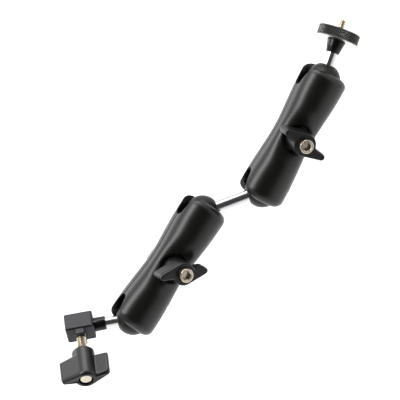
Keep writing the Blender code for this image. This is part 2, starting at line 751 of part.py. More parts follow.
# Lower arm on the base rod
base_ball_frame = frame("base_ball_frame", root,
                        shift(BLOCK_WIDTH / 2 + BASE_REACH, ROD_HEIGHT, 0.0) @ turn("X", BASE_SPIN))
ball("base_ball", base_ball_frame, turn("Y", -90.0), STUD_RADIUS + FIT_GAP)
lower_arm_frame = frame("lower_arm_frame", base_ball_frame, turn("Z", BASE_SWING) @ turn("Y", BASE_TILT))
arm("lower", lower_arm_frame, LOWER_WING_TURN)

# Link between the arms
link_ball_frame = frame("link_ball_frame", lower_arm_frame,
                        shift(BALL_SPACING, 0.0, 0.0) @ turn("Y", LINK_TILT) @ turn("Z", LINK_SWING))
ball("link_ball_lower", link_ball_frame, turn("Y", 90.0), LINK_RADIUS + FIT_GAP)
link_frame = frame("link_frame", link_ball_frame, turn("X", LINK_SPIN))
link_rod = cylinder("link_rod", LINK_RADIUS, rod_between_balls(), LINK_LENGTH - rod_between_balls(), parts,
                    chamfer=0.5 * MM)
finish(link_rod, link_frame, Z_TO_X, CHROME)
ball("link_ball_upper", link_frame, shift(LINK_LENGTH, 0.0, 0.0) @ turn("Y", -90.0), LINK_RADIUS + FIT_GAP)

# Upper arm on the link
upper_arm_frame = frame("upper_arm_frame", link_frame,
                        shift(LINK_LENGTH, 0.0, 0.0) @ turn("Z", UPPER_SWING) @ turn("Y", UPPER_TILT))
arm("upper", upper_arm_frame, UPPER_WING_TURN)

# Top stud
top_ball_frame = frame("top_ball_frame", upper_arm_frame,
                       shift(BALL_SPACING, 0.0, 0.0) @ turn("Y", TOP_TILT) @ turn("Z", TOP_SWING))
ball("top_ball", top_ball_frame, turn("Y", 90.0), TOP_ROD_RADIUS + FIT_GAP)
top_stud_frame = frame("top_stud_frame", top_ball_frame, Matrix())
top_stud(top_stud_frame)
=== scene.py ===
# The look of the macro arm: finely made shells, knobs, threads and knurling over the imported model.
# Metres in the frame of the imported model; sizes at the top are written in millimetres.

import math

import bmesh
import bpy
from mathutils import Matrix, Vector


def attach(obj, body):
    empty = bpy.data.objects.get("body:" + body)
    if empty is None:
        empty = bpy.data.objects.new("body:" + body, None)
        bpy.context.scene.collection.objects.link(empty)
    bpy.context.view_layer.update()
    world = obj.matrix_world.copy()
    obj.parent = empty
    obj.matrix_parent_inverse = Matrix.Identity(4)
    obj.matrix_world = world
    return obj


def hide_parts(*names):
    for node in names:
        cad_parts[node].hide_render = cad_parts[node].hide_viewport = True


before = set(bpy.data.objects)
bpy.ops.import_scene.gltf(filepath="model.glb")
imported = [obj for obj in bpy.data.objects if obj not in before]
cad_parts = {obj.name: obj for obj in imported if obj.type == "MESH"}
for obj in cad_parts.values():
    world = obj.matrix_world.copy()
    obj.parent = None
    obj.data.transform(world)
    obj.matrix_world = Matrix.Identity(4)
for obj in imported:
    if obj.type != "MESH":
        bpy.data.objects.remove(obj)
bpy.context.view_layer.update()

MM = 0.001
FIT_GAP = 0.3 * MM
OVERLAP = 2.0 * MM
ROD_EDGE = 0.5 * MM

# Mouldings are remeshed at this size; edges sharper than these angles stay sharp in the shading
MOULD_VOXEL = 0.45 * MM
MOULDED_SHARP = 80.0
THREAD_SHARP = 50.0

# Clamp block
BLOCK_WIDTH = 28.5 * MM
BLOCK_HEIGHT = 20.0 * MM
BLOCK_DEPTH = 22.6 * MM
BLOCK_CHAMFER = 1.3 * MM
TONGUE_WIDTH = 9.4 * MM
TONGUE_RISE = 6.1 * MM
TONGUE_LENGTH = 20.0 * MM
TONGUE_CHAMFER = 0.6 * MM
STUD_RADIUS = 5.6 * MM
STUD_SET_IN = 7.5 * MM
BASE_REACH = 39.9 * MM
ROD_HEIGHT = 9.0 * MM
COLLAR_LENGTH = 12.2 * MM
COLLAR_RADIUS_BLOCK = 7.2 * MM
COLLAR_RADIUS_END = 6.9 * MM

# Clamp screw and its knob, heights measured from the clamp face along -Y
SCREW_RADIUS = 4.76 * MM
SCREW_PITCH = 1.5875 * MM
SCREW_IN_BLOCK = 6.0 * MM
SCREW_BORE_DEPTH = 18.5 * MM
KNOB_HUB_START = 22.0 * MM
KNOB_HUB_RADIUS = 11.6 * MM
KNOB_SHOULDER = 2.6 * MM
KNOB_WING_START = 31.0 * MM
KNOB_END = 58.4 * MM
KNOB_HALF_SPAN = 25.0 * MM
KNOB_TIP_HALF = 3.3 * MM
KNOB_CORNER_SHARE = 0.6
KNOB_TOP_EDGE = 1.1 * MM
KNOB_END_ROUND = 4.2 * MM
KNOB_END_INSET = 2.8 * MM
KNOB_TIP_RISE = 2.5 * MM
KNOB_POCKET_RADIUS = 7.4 * MM
KNOB_POCKET_DEPTH = 5.0 * MM
INSERT_RADIUS = 5.9 * MM
INSERT_RECESS = 1.7 * MM
KNOB_TURN = 5.0
SCREW_SHORT_OF_POCKET = 3.0 * MM

# Balls
BALL_RADIUS = 17.5 * MM
BALL_FLAT_RADIUS = 8.2 * MM
BALL_BORE_DEPTH = 10.0 * MM
SOCKET_RADIUS = BALL_RADIUS + FIT_GAP
MOUTH_BEVEL = 1.1 * MM

# Arm shells
BALL_SPACING = 126.0 * MM
LIP_REACH = 9.9 * MM
SHELL_LENGTH = BALL_SPACING + 2 * LIP_REACH
END_HALF_WIDTH = 23.8 * MM
WAIST_HALF_WIDTH = 20.3 * MM
END_HALF_DEPTH = 23.5 * MM
WAIST_HALF_DEPTH = 17.2 * MM
WIDTH_TAPER = 58.0 * MM
DEPTH_TAPER_START = 4.0 * MM
DEPTH_TAPER = 32.0 * MM
END_ROUND = 9.0 * MM
END_POWER = 2.06
WAIST_POWER = 2.5
SEAM_HALF_GAP = 0.25 * MM
SEAM_CHAMFER = 0.35 * MM
WALL = 2.8 * MM
POCKET_START = 19.0 * MM
POCKET_END = BALL_SPACING / 2 - 17.0 * MM
SLOT_END = BALL_SPACING / 2 - 15.2 * MM
SLOT_HALF_CLOSED = 5.6 * MM
SLOT_HALF_BALL = 7.5 * MM
SLOT_FLARE = 0.64
SLOT_FLARE_START = 1.5 * MM
SLOT_INNER = 9.0 * MM
RELIEF_HALF = 9.4 * MM
RELIEF_WALL = 3.3 * MM
RELIEF_PAST_BALL = 2.5 * MM
DISH_RADIUS = 14.0 * MM
DISH_FLOOR = 10.6 * MM
DISH_LIP = 3.6 * MM
DISH_LIP_DROP = 3.0 * MM
DISH_LIP_LEAD = 0.15 * MM
SPRING_POCKET_RADIUS = 7.4 * MM
SPRING_POCKET_DEPTH = 7.0 * MM

# Clamp bolt, wing knob, washer and nut of an arm
BOLT_HEAD_RADIUS = 7.15 * MM
BOLT_HEAD_HEIGHT = 9.5 * MM
BOLT_HEAD_FRONT = 46.3 * MM
BOLT_HEX = 7.94 * MM
BOLT_HEX_DEPTH = 5.2 * MM
BOLT_BORE_RADIUS = SCREW_RADIUS + FIT_GAP
NUT_HEIGHT = 15.0 * MM
BOLT_SHORT_OF_NUT = 0.7 * MM
WASHER_HEIGHT = 1.2 * MM
WING_FRONT = 40.3 * MM
WING_DEPTH = 17.8 * MM
WING_TIP_RADIUS = 3.8 * MM
WING_HALF_SPAN = 26.3 * MM
WING_HUB_RADIUS = 12.2 * MM
WING_HUB_STEP = 0.3 * MM
WING_FILLET = 2.0 * MM
WING_LEDGE = 0.4 * MM
WING_LEDGE_DEPTH = 3.4 * MM

# Link and top stud
LINK_LENGTH = 64.1 * MM
LINK_RADIUS = 6.1 * MM
TOP_ROD_RADIUS = 5.5 * MM
TOP_HUB_START = 28.9 * MM
TOP_HUB_END = 42.4 * MM
TOP_HUB_RADIUS_START = 6.7 * MM
TOP_HUB_RADIUS_END = 9.5 * MM
TOP_ROD_IN_HUB = 5.0 * MM
RING_RADIUS = 21.6 * MM
RING_HEIGHT = 10.6 * MM
RING_BEVEL = 0.8 * MM
# The real diamonds are finer than a pixel of the picture, so they are drawn coarser and deeper
KNURL_COUNT = 52
KNURL_DEPTH = 1.0 * MM
KNURL_PLAIN_EDGE = 0.7 * MM
KNURL_FADE = 0.5 * MM
FACE_MINIMUM_DOT = 0.95
THREAD_RADIUS = 3.175 * MM
THREAD_PITCH = 1.27 * MM
THREAD_SHOWING = 10.4 * MM

# Pose of the photo, in degrees, from the base rod to the top stud
BASE_SPIN = 77.8
BASE_SWING = 35.8
BASE_TILT = 32.3
LINK_TILT = -17.7
LINK_SWING = -31.7
LINK_SPIN = -3.7
UPPER_SWING = 40.2
UPPER_TILT = 10.5
TOP_TILT = 13.8
TOP_SWING = 4.7
LOWER_WING_TURN = 130.0
UPPER_WING_TURN = 81.0


def turn(axis, degrees):
    return Matrix.Rotation(math.radians(degrees), 4, axis)


def shift(x, y, z):
    return Matrix.Translation((x, y, z))


# The joints' frames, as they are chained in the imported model
Z_TO_X = turn("Y", 90.0)
Z_TO_MINUS_Y = turn("X", 90.0)
ROOT = Matrix()
BASE_BALL = shift(BLOCK_WIDTH / 2 + BASE_REACH, ROD_HEIGHT, 0.0) @ turn("X", BASE_SPIN)
LOWER_ARM = BASE_BALL @ turn("Z", BASE_SWING) @ turn("Y", BASE_TILT)
LINK_BALL = LOWER_ARM @ shift(BALL_SPACING, 0.0, 0.0) @ turn("Y", LINK_TILT) @ turn("Z", LINK_SWING)
LINK = LINK_BALL @ turn("X", LINK_SPIN)
UPPER_ARM = LINK @ shift(LINK_LENGTH, 0.0, 0.0) @ turn("Z", UPPER_SWING) @ turn("Y", UPPER_TILT)
TOP_BALL = UPPER_ARM @ shift(BALL_SPACING, 0.0, 0.0) @ turn("Y", TOP_TILT) @ turn("Z", TOP_SWING)
ARM_MIDDLE = shift(BALL_SPACING / 2, 0.0, 0.0)


# Materials

def hex_colour(text):
    """An sRGB hex value as the linear colour that the shader takes."""
    out = []
    for i in (0, 2, 4):
        c = int(text[i:i + 2], 16) / 255.0
        out.append(c / 12.92 if c <= 0.04045 else ((c + 0.055) / 1.055) ** 2.4)
    return (out[0], out[1], out[2], 1.0)


def add_node(tree, kind, settings, links):
    """A node with its settings and its links."""
    node = tree.nodes.new(kind)
    for name, value in settings.items():
        if name in node.inputs:
            node.inputs[name].default_value = value
        else:
            setattr(node, name, value)
    for name, socket in links.items():
        tree.links.new(socket, node.inputs[name])
    return node


def new_material(name):
    mat = bpy.data.materials.new(name)
    mat.use_nodes = True
    tree = mat.node_tree
    tree.nodes.clear()
    return mat, tree, tree.nodes.new("ShaderNodeOutputMaterial")


def finish_material(name, dark, light, rough_low, rough_high, metallic, grain_mm, bump_mm,
                    edge_mm=0.0, patch_mm=9.0):
    """Common build of a fine surface: patches of tone, a grain that roughens it, and softened edges."""
    mat, tree, out = new_material(name)
    place = add_node(tree, "ShaderNodeTexCoord", {}, {}).outputs["Object"]
    patch = add_node(tree, "ShaderNodeTexNoise", {"Scale": 1.0 / (patch_mm * MM), "Detail": 3.0},
                     {"Vector": place})
    grain = add_node(tree, "ShaderNodeTexNoise", {"Scale": 1.0 / (grain_mm * MM), "Detail": 2.0},
                     {"Vector": place})
    tone = add_node(tree, "ShaderNodeMix", {"data_type": "RGBA"}, {})
    tone.inputs[6].default_value = hex_colour(dark)
    tone.inputs[7].default_value = hex_colour(light)
    tree.links.new(patch.outputs["Fac"], tone.inputs[0])
    rough = add_node(tree, "ShaderNodeMapRange", {"To Min": rough_low, "To Max": rough_high},
                     {"Value": grain.outputs["Fac"]})
    links = {"Height": grain.outputs["Fac"]}
    if edge_mm > 0.0:
        soft = add_node(tree, "ShaderNodeBevel", {"Radius": edge_mm * MM, "samples": 6}, {})
        links["Normal"] = soft.outputs["Normal"]
    bump = add_node(tree, "ShaderNodeBump", {"Strength": 1.0, "Distance": bump_mm * MM}, links)
    shader = add_node(tree, "ShaderNodeBsdfPrincipled", {"Metallic": metallic},
                      {"Base Color": tone.outputs[2], "Roughness": rough.outputs["Result"],
                       "Normal": bump.outputs["Normal"]})
    tree.links.new(shader.outputs["BSDF"], out.inputs["Surface"])
    return mat


# Satin black coat on the cast shells: a soft broad sheen with a very fine orange peel
BLACK_COAT = finish_material("black_powder_coat_on_cast_aluminium", "0D0E0C", "12130F",
                             0.29, 0.35, 0.0, 0.5, 0.010)
# Bead-blasted and anodised block: an even dark grey metal sheen
BLOCK_FINISH = finish_material("bead_blasted_anodised_aluminium", "3C3C3E", "464648",
                               0.42, 0.52, 1.0, 0.35, 0.01, 0.3)
# Glass-filled nylon knobs: black with a slight moulded grain
KNOB_FINISH = finish_material("glass_filled_nylon_moulded", "101012", "161618",
                              0.28, 0.36, 0.0, 0.4, 0.012, 0.5)
# Black collar and hub: smooth turned and black anodised, so it mirrors a sharper streak of light
HUB_FINISH = finish_material("black_anodised_aluminium_turned", "0C0C0D", "121213",
                             0.18, 0.26, 0.3, 0.4, 0.004, 0.3)
# Ball: black oxide over a machined steel ball, duller than the shells
BALL_FINISH = finish_material("black_oxide_machined_ball", "141413", "1C1C1A",
                              0.36, 0.46, 0.4, 0.6, 0.008)
# Chromed rods: bright as a mirror, with reflections softened a little by the polishing
CHROME = finish_material("chromed_steel_rod", "D6D6D9", "E2E2E5",
                         0.15, 0.20, 1.0, 1.5, 0.0004, 0.0, 30.0)
# Nickel-plated screws: warm, slightly uneven plating
NICKEL = finish_material("nickel_plated_steel", "C4B9A8", "E4DACA",
                         0.20, 0.32, 1.0, 0.8, 0.006, 0.25, 4.0)
# Zinc-plated washers, nuts and springs: cooler grey with soft cloudy patches
ZINC = finish_material("zinc_plated_steel", "8E8F92", "B4B4B6",
                       0.28, 0.42, 1.0, 0.8, 0.006, 0.2, 3.0)
# Flat faces of the knurled ring: a nearly white metal beside the black rim, a painted reflection of the
# white glare these faces show
PAINTED_REFLECTION_FACE = finish_material("ring_face_painted_white_reflection", "D2CEC6", "E6E2DA",
                            0.25, 0.35, 1.0, 0.5, 0.003)


def knurl_material():
    """Black anodised knurl whose crests are painted bright as highlights, so that the diamonds stand
    out.
    """
    mat, tree, out = new_material("black_anodised_knurl_with_painted_crest_highlights")
    shape = add_node(tree, "ShaderNodeNewGeometry", {}, {})
    # Crests found by pointiness get a light colour: a painted highlight on each ridge
    crest = add_node(tree, "ShaderNodeMapRange", {"From Min": 0.5, "From Max": 0.62},
                     {"Value": shape.outputs["Pointiness"]})
    tone = add_node(tree, "ShaderNodeMix", {"data_type": "RGBA"}, {})
    tone.inputs[6].default_value = hex_colour("1A1A19")
    tone.inputs[7].default_value = hex_colour("C4C4BE")
    tree.links.new(crest.outputs["Result"], tone.inputs[0])
    shader = add_node(tree, "ShaderNodeBsdfPrincipled", {"Metallic": 1.0, "Roughness": 0.3},
                      {"Base Color": tone.outputs[2]})
    tree.links.new(shader.outputs["BSDF"], out.inputs["Surface"])
    return mat


# Rim of the lock ring: a black knurl with its crests painted bright as highlights
RING_FINISH = knurl_material()


# Mesh building

def mesh_object(name, bm):
    bmesh.ops.recalc_face_normals(bm, faces=bm.faces)
    mesh = bpy.data.meshes.new(name)
    bm.to_mesh(mesh)
    bm.free()
    obj = bpy.data.objects.new(name, mesh)
    bpy.context.scene.collection.objects.link(obj)
    return obj


def turned(name, profile, steps=96):
    """A body turned about z from a profile of (radius, z), top to bottom on its outer side."""
    bm = bmesh.new()
    closed = profile[0][0] > 0.0
    rows = []
    for r, z in profile:
        if r == 0.0:
            rows.append([bm.verts.new((0.0, 0.0, z))] * steps)
        else:
            row = []
            for i in range(steps):
                a = math.tau * i / steps
                row.append(bm.verts.new((r * math.cos(a), r * math.sin(a), z)))
            rows.append(row)
    pairs = list(zip(rows, rows[1:]))
    if closed:
        pairs.append((rows[-1], rows[0]))
    for upper, lower in pairs:
        for i in range(steps):
            j = (i + 1) % steps
            corners = []
            for v in (upper[i], upper[j], lower[j], lower[i]):
                if v not in corners:
                    corners.append(v)
            bm.faces.new(corners)
    return mesh_object(name, bm)


def prism(name, outline, low, high):
    bm = bmesh.new()
    bottom = bm.faces.new([bm.verts.new((x, y, low)) for x, y in outline])
    pulled = bmesh.ops.extrude_face_region(bm, geom=[bottom])
    moved = [v for v in pulled["geom"] if isinstance(v, bmesh.types.BMVert)]
    bmesh.ops.translate(bm, verts=moved, vec=(0.0, 0.0, high - low))
    return mesh_object(name, bm)


def block(name, size, centre):
    bm = bmesh.new()
    bmesh.ops.create_cube(bm, size=1.0)
    bmesh.ops.scale(bm, vec=size, verts=bm.verts)
    bmesh.ops.translate(bm, vec=centre, verts=bm.verts)
    return mesh_object(name, bm)


def round_grid(name, radius_at, low, high, rows, columns, edge):
    """A closed round bar whose radius varies with angle and height, with a chamfer at both ends."""
    bm = bmesh.new()
    grid = []
    for k in range(rows + 1):
        z = low + (high - low) * k / rows
        inset = max(edge - (z - low), edge - (high - z), 0.0)
        row = []
        for i in range(columns):
            a = math.tau * i / columns
            r = radius_at(a, z) - inset
            row.append(bm.verts.new((r * math.cos(a), r * math.sin(a), z)))
        grid.append(row)
    for lower, upper in zip(grid, grid[1:]):
        for i in range(columns):
            j = (i + 1) % columns
            bm.faces.new((lower[i], lower[j], upper[j], upper[i]))
    bm.faces.new(grid[0])
    bm.faces.new(grid[-1])
    return mesh_object(name, bm)


def loft(name, rings):
    bm = bmesh.new()
    rows = [[bm.verts.new(p) for p in ring] for ring in rings]
    count = len(rows[0])
    for a, b in zip(rows, rows[1:]):
        for i in range(count):
            j = (i + 1) % count
            bm.faces.new((a[i], a[j], b[j], b[i]))
    bm.faces.new(rows[0])
    bm.faces.new(rows[-1])
    return mesh_object(name, bm)


def bevel(obj, width, segments, angle=30.0):
    mod = obj.modifiers.new("Edges", "BEVEL")
    mod.width = width
    mod.segments = segments
    mod.limit_method = "ANGLE"
    mod.angle_limit = math.radians(angle)


def join(obj, tool, operation):
    mod = obj.modifiers.new(operation.title(), "BOOLEAN")
    mod.operation = operation
    mod.solver = "EXACT"
    mod.object = tool


def settle(obj, tools=()):
    """Apply the modifiers and remove the tools that they used."""
    bpy.context.view_layer.update()
    evaluated = obj.evaluated_get(bpy.context.evaluated_depsgraph_get())
    mesh = bpy.data.meshes.new_from_object(evaluated)
    obj.modifiers.clear()
    obj.data = mesh
    for tool in tools:
        bpy.data.objects.remove(tool, do_unlink=True)
    return obj


def dress(obj, matrix, body, nodes, mat, sharp=35.0):
    """Place a piece, shade it, give it its finish, let it ride on its body and stand for its nodes."""
    obj.data.materials.clear()
    obj.data.materials.append(mat)
    obj.data.transform(matrix)
    obj.data.shade_smooth()
    obj.data.set_sharp_from_angle(angle=math.radians(sharp))
    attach(obj, body)
    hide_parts(*nodes)
    return obj


def copy_of(obj, name):
    twin = bpy.data.objects.new(name, obj.data.copy())
    bpy.context.scene.collection.objects.link(twin)
    return twin


def arc_points(cx, cy, radius, start, end, count):
    out = []
    for i in range(count + 1):
        a = math.radians(start + (end - start) * i / count)
        out.append((cx + radius * math.cos(a), cy + radius * math.sin(a)))
    return out


def cylinder(name, radius, low, high, steps=96, edge=0.0):
    if edge > 0.0:
        profile = [(0.0, high), (radius - edge, high), (radius, high - edge),
                   (radius, low + edge), (radius - edge, low), (0.0, low)]
    else:
        profile = [(0.0, high), (radius, high), (radius, low), (0.0, low)]
    return turned(name, profile, steps)


def thread_radius(radius, pitch):
    """Radius of a right-hand thread with 60 degree flanks at an angle and height."""
    depth = 0.6 * pitch

    def at(angle, z):
        phase = (z / pitch - angle / math.tau) % 1.0
        ramp = abs(2.0 * phase - 1.0)
        crest = min(max((ramp - 0.1) / 0.8, 0.0), 1.0)
        return radius - depth * (1.0 - crest)
    return at


# Foot

def make_block():
    obj = block("clamp_block_body", (BLOCK_WIDTH, BLOCK_HEIGHT, BLOCK_DEPTH),
                (0.0, BLOCK_HEIGHT / 2, 0.0))
    bevel(obj, BLOCK_CHAMFER, 1)
    tongue = block("tongue", (TONGUE_WIDTH, TONGUE_RISE + OVERLAP, TONGUE_LENGTH),
                   (0.0, (OVERLAP - TONGUE_RISE) / 2, 0.0))
    bevel(tongue, TONGUE_CHAMFER, 1)
    join(obj, tongue, "UNION")
    hole = cylinder("screw_hole", SCREW_RADIUS + FIT_GAP, -SCREW_BORE_DEPTH, TONGUE_RISE + OVERLAP)
    hole.matrix_world = Z_TO_MINUS_Y
    join(obj, hole, "DIFFERENCE")
    side = BLOCK_WIDTH / 2
    rod = cylinder("rod_hole", STUD_RADIUS + FIT_GAP, side - STUD_SET_IN, side + OVERLAP)
    rod.matrix_world = shift(0.0, ROD_HEIGHT, 0.0) @ Z_TO_X
    join(obj, rod, "DIFFERENCE")
    settle(obj, (tongue, hole, rod))
    dress(obj, ROOT, "foot", ["clamp_block"], BLOCK_FINISH)


def make_base_rod():
    face = BLOCK_WIDTH / 2
    seat = math.sqrt(BALL_RADIUS ** 2 - BALL_FLAT_RADIUS ** 2)
    inner = face + BASE_REACH - seat + BALL_BORE_DEPTH - FIT_GAP
    place = shift(0.0, ROD_HEIGHT, 0.0) @ Z_TO_X
    rod = cylinder("base_rod_chromed", STUD_RADIUS, face - STUD_SET_IN + ROD_EDGE, inner, edge=ROD_EDGE)
    dress(rod, place, "foot", ["base_stud"], CHROME)
    low = face + FIT_GAP
    high = face + COLLAR_LENGTH
    bore = STUD_RADIUS + FIT_GAP
    edge = 0.5 * MM
    profile = [(bore, high), (COLLAR_RADIUS_END - edge, high)]
    profile += arc_points(COLLAR_RADIUS_END - edge, high - edge, edge, 90.0, 0.0, 4)[1:]
    profile += arc_points(COLLAR_RADIUS_BLOCK - edge, low + edge, edge, 0.0, -90.0, 4)
    profile += [(bore, low)]
    dress(turned("base_collar_ring", profile), place, "foot", ["base_collar"], HUB_FINISH)


def knob_outline(inset):
    """Two offset wings: one face of each is flat, the other runs as a tangent onto the hub."""
    span = KNOB_HALF_SPAN - inset
    tip = KNOB_TIP_HALF - inset
    hub = KNOB_HUB_RADIUS - inset
    corner = tip * KNOB_CORNER_SHARE
    half = arc_points(corner - span, corner - tip, corner, 270.0, 180.0, 6)
    half += arc_points(corner - span, tip - corner, corner, 180.0, 90.0, 6)
    reach = math.hypot(span - corner, tip)
    lean = math.asin(hub / reach) - math.atan2(tip, span - corner)
    touch = math.degrees(math.pi / 2 + lean)
    step_angle = math.degrees(math.asin(tip / hub))
    half += arc_points(0.0, 0.0, hub, touch, step_angle, 24)
    return half + [(-x, -y) for x, y in half]


def knob_rings():
    """Outlines from the wings' upper edge to the free end, which slopes back towards the tips."""
    stations = []
    for x, y in arc_points(1.0, 1.0, 1.0, 180.0, 270.0, 5):
        stations.append((KNOB_WING_START + KNOB_TOP_EDGE * x, KNOB_TOP_EDGE * y, 0.0))
    for x, y in arc_points(1.0, 1.0, 1.0, 270.0, 180.0, 12):
        stations.append((KNOB_END - KNOB_END_ROUND * x, KNOB_END_INSET * y, KNOB_TIP_RISE))
    rings = []
    for z, inset, rise in stations:
        ring = []
        for x, y in knob_outline(inset):
            beyond_hub = max(0.0, abs(x) - KNOB_HUB_RADIUS) / (KNOB_HALF_SPAN - KNOB_HUB_RADIUS)
            ring.append((x, y, z - rise * beyond_hub))
        rings.append(ring)
    return rings


def remesh(obj, voxel, smoothing):
    """Voxel remesh and smoothing: the soft edges of a moulding."""
    mod = obj.modifiers.new("Voxels", "REMESH")
    mod.mode = "VOXEL"
    mod.voxel_size = voxel
    mod.use_smooth_shade = True
    soft = obj.modifiers.new("Soften", "SMOOTH")
    soft.factor = 0.5
    soft.iterations = smoothing


def make_clamp_knob():
    obj = loft("clamp_knob_moulding", knob_rings())
    top = KNOB_HUB_START
    low = KNOB_END - KNOB_END_ROUND - OVERLAP
    inside = KNOB_HUB_RADIUS - 0.05 * MM
    profile = [(0.0, low), (inside, low)]
    profile += arc_points(inside - KNOB_SHOULDER, top + KNOB_SHOULDER, KNOB_SHOULDER, 0.0, -90.0, 10)
    profile += [(0.0, top)]
    hub = turned("hub", profile)
    join(obj, hub, "UNION")
    pocket_floor = KNOB_END - KNOB_POCKET_DEPTH
    hole = cylinder("hole", SCREW_RADIUS + FIT_GAP, KNOB_HUB_START - OVERLAP, pocket_floor - OVERLAP)
    join(obj, hole, "DIFFERENCE")
    pocket = cylinder("pocket", KNOB_POCKET_RADIUS, pocket_floor, KNOB_END + OVERLAP)
    join(obj, pocket, "DIFFERENCE")
    remesh(obj, MOULD_VOXEL, 4)
    settle(obj, (hub, hole, pocket))
    place = Z_TO_MINUS_Y @ turn("Z", KNOB_TURN)
    dress(obj, place, "knob", ["clamp_knob"], KNOB_FINISH, MOULDED_SHARP)
    insert = cylinder("clamp_knob_insert_turned", INSERT_RADIUS, pocket_floor + FIT_GAP,
                      KNOB_END - INSERT_RECESS, edge=0.4 * MM)
    dress(insert, place, "knob", ["clamp_knob_insert"], NICKEL)


def make_clamp_screw():
    low = -SCREW_IN_BLOCK
    high = KNOB_END - KNOB_POCKET_DEPTH - SCREW_SHORT_OF_POCKET
    rows = round((high - low) / (SCREW_PITCH / 10))
    radius_at = thread_radius(SCREW_RADIUS, SCREW_PITCH)
    obj = round_grid("clamp_screw_threaded", radius_at, low, high, rows, 64, 0.7 * MM)
    dress(obj, Z_TO_MINUS_Y, "screw", ["clamp_screw"], NICKEL, THREAD_SHARP)


# Balls

def make_ball(name, matrix, body, node, bore_radius):
    flat = math.sqrt(BALL_RADIUS ** 2 - BALL_FLAT_RADIUS ** 2)
    floor = flat - BALL_BORE_DEPTH
    start = math.degrees(math.asin(flat / BALL_RADIUS))
    rim = 0.3 * MM
    profile = [(0.0, floor), (bore_radius, floor), (bore_radius, flat - rim), (bore_radius + rim, flat)]
    profile += arc_points(0.0, 0.0, BALL_RADIUS, start, -90.0, 60)
    profile[-1] = (0.0, -BALL_RADIUS)
    dress(turned(name, profile, 96), matrix, body, [node], BALL_FINISH)


# Arm shells

def smooth_step(t):
    t = min(max(t, 0.0), 1.0)
    return t * t * (3.0 - 2.0 * t)


def shell_half_width(x):
    t = min(abs(x) / WIDTH_TAPER, 1.0)
    return WAIST_HALF_WIDTH + (END_HALF_WIDTH - WAIST_HALF_WIDTH) * (1.0 - math.cos(math.pi * t)) / 2


def end_share(x):
    """How far a section has grown from the waist (0) to the full end (1)."""
    return smooth_step((abs(x) - DEPTH_TAPER_START) / DEPTH_TAPER)


def shell_half_depth(x):
    return WAIST_HALF_DEPTH + (END_HALF_DEPTH - WAIST_HALF_DEPTH) * end_share(x)


def section_power(x):
    return WAIST_POWER + (END_POWER - WAIST_POWER) * end_share(x)


def surface_height(x, y):
    """Height of the shell's outer surface above the seam plane."""
    power = section_power(x)
    return shell_half_depth(x) * (1.0 - (abs(y) / shell_half_width(x)) ** power) ** (1.0 / power)


def section(x, inset, side, steps):
    """Half of a rounded section at x on one side of the seam, with a fine chamfer along the seam."""
    wide = shell_half_width(x) - inset
    deep = shell_half_depth(x) - inset
    power = section_power(x)
    low = SEAM_HALF_GAP
    edge = SEAM_CHAMFER
    ring = [(x, wide - edge, side * low), (x, wide, side * (low + edge))]
    for i in range(1, steps):
        a = math.pi * i / steps
        c = math.cos(a)
        s = math.sin(a)
        y = wide * math.copysign(abs(c) ** (2.0 / power), c)
        z = deep * s ** (2.0 / power)
        ring.append((x, y, side * max(z, low + edge)))
    ring += [(x, -wide, side * (low + edge)), (x, -wide + edge, side * low)]
    return ring


def outer_rings(side):
    half = SHELL_LENGTH / 2
    flat_end = half - END_ROUND
    count = 44
    stations = [(flat_end * i / count, 0.0) for i in range(count + 1)]
    for i in range(1, 13):
        a = math.radians(90.0 * i / 12)
        stations.append((flat_end + END_ROUND * math.sin(a), END_ROUND * (1.0 - math.cos(a))))
    rings = [section(-x, inset, side, 72) for x, inset in reversed(stations[1:])]
    rings += [section(x, inset, side, 72) for x, inset in stations]
    return rings


def hollow(name, side, sign, start, end, wall, height):
    """A hollow between two places along the arm, inside a wall, open through the seam up to a height."""
    rings = []
    count = 10
    for i in range(count + 1):
        x = sign * (start + (end - start) * i / count)
        ring = []
        for px, py, pz in section(x, wall, side, 40):
            # Points near the seam are pulled through it, so that the hollow is open there
            ring.append((px, py, side * min(abs(pz), height) if abs(pz) > MM else -side * MM))
        rings.append(ring)
    return loft(name, rings)


def socket_tool(sign):
    start_z = LIP_REACH - MOUTH_BEVEL
    start_r = math.sqrt(SOCKET_RADIUS ** 2 - start_z ** 2)
    outside = 3.0 * MM
    start = math.degrees(math.asin(start_z / SOCKET_RADIUS))
    profile = [(0.0, LIP_REACH + outside), (start_r + MOUTH_BEVEL + outside, LIP_REACH + outside)]
    profile += arc_points(0.0, 0.0, SOCKET_RADIUS, start, -90.0, 48)
    profile[-1] = (0.0, -SOCKET_RADIUS)
    obj = turned("socket", profile, 96)
    obj.matrix_world = shift(sign * BALL_SPACING / 2, 0.0, 0.0) @ turn("Y", 90.0 * sign)
    return obj


def slot_tool(sign, across):
    """A side slot: round at its closed end, wider over the ball, flared to the mouth."""
    mouth = SHELL_LENGTH / 2 + 2.0 * MM
    level_end = BALL_SPACING / 2 - SLOT_FLARE_START
    flare = SLOT_HALF_BALL + (mouth - level_end) * SLOT_FLARE
    end_middle = SLOT_END + SLOT_HALF_CLOSED
    outline = [(mouth, -flare), (mouth, flare), (level_end, SLOT_HALF_BALL)]
    outline += arc_points(end_middle, 0.0, SLOT_HALF_CLOSED, 90.0, 270.0, 24)
    outline += [(level_end, -SLOT_HALF_BALL)]
    outline = [(sign * x, z) for x, z in outline]
    obj = prism("slot", outline, SLOT_INNER, END_HALF_WIDTH + 4.0 * MM)
    obj.matrix_world = turn("X", -90.0 * across)
    return obj


